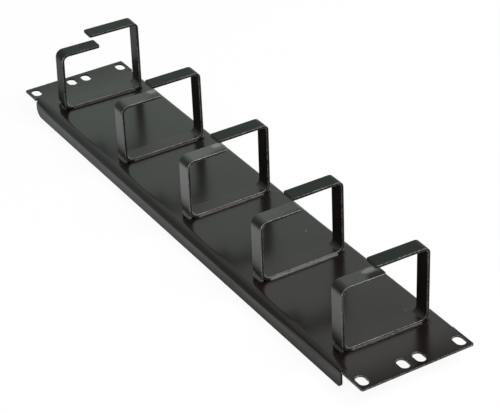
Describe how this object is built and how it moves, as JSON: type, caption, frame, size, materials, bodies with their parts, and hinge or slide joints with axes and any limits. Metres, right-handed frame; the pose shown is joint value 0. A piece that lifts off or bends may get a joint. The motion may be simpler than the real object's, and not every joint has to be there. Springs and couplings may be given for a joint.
{
  "type": "horizontal cable manager",
  "caption": "Rack panel folded from sheet steel, with slotted ears and a row of open rings of bent strip that guide patch cables along its front.",
  "frame": {"origin": "centre of the panel's plan outline, on the plane of the two flanges' free edges, which the part lies on", "axes": "+X along the 19 inch width towards the longer ear, +Y across the rack units towards the tall legs of the rings, +Z out of the front face towards the rings"},
  "size_m": [0.4826, 0.0882, 0.0724],
  "materials": {
    "panel": "black satin powder coat on folded sheet steel",
    "ring": "black satin powder coat on steel strip",
    "seam_weld": "black powder coat over a lumpy weld bead",
    "front_fillet_weld": "black powder coat over a lumpy weld bead",
    "rear_fillet_weld": "black powder coat over a lumpy weld bead"
  },
  "bodies": {
    "root": {"panel": "panel", "ring_1": "ring", "seam_weld_1": "seam_weld", "front_fillet_weld_1": "front_fillet_weld", "rear_fillet_weld_1": "rear_fillet_weld", "ring_2": "ring", "seam_weld_2": "seam_weld", "front_fillet_weld_2": "front_fillet_weld", "rear_fillet_weld_2": "rear_fillet_weld", "ring_3": "ring", "seam_weld_3": "seam_weld", "front_fillet_weld_3": "front_fillet_weld", "rear_fillet_weld_3": "rear_fillet_weld", "ring_4": "ring", "seam_weld_4": "seam_weld", "front_fillet_weld_4": "front_fillet_weld", "rear_fillet_weld_4": "rear_fillet_weld", "ring_5": "ring", "seam_weld_5": "seam_weld", "front_fillet_weld_5": "front_fillet_weld", "rear_fillet_weld_5": "rear_fillet_weld"}
  },
  "joints": []
}
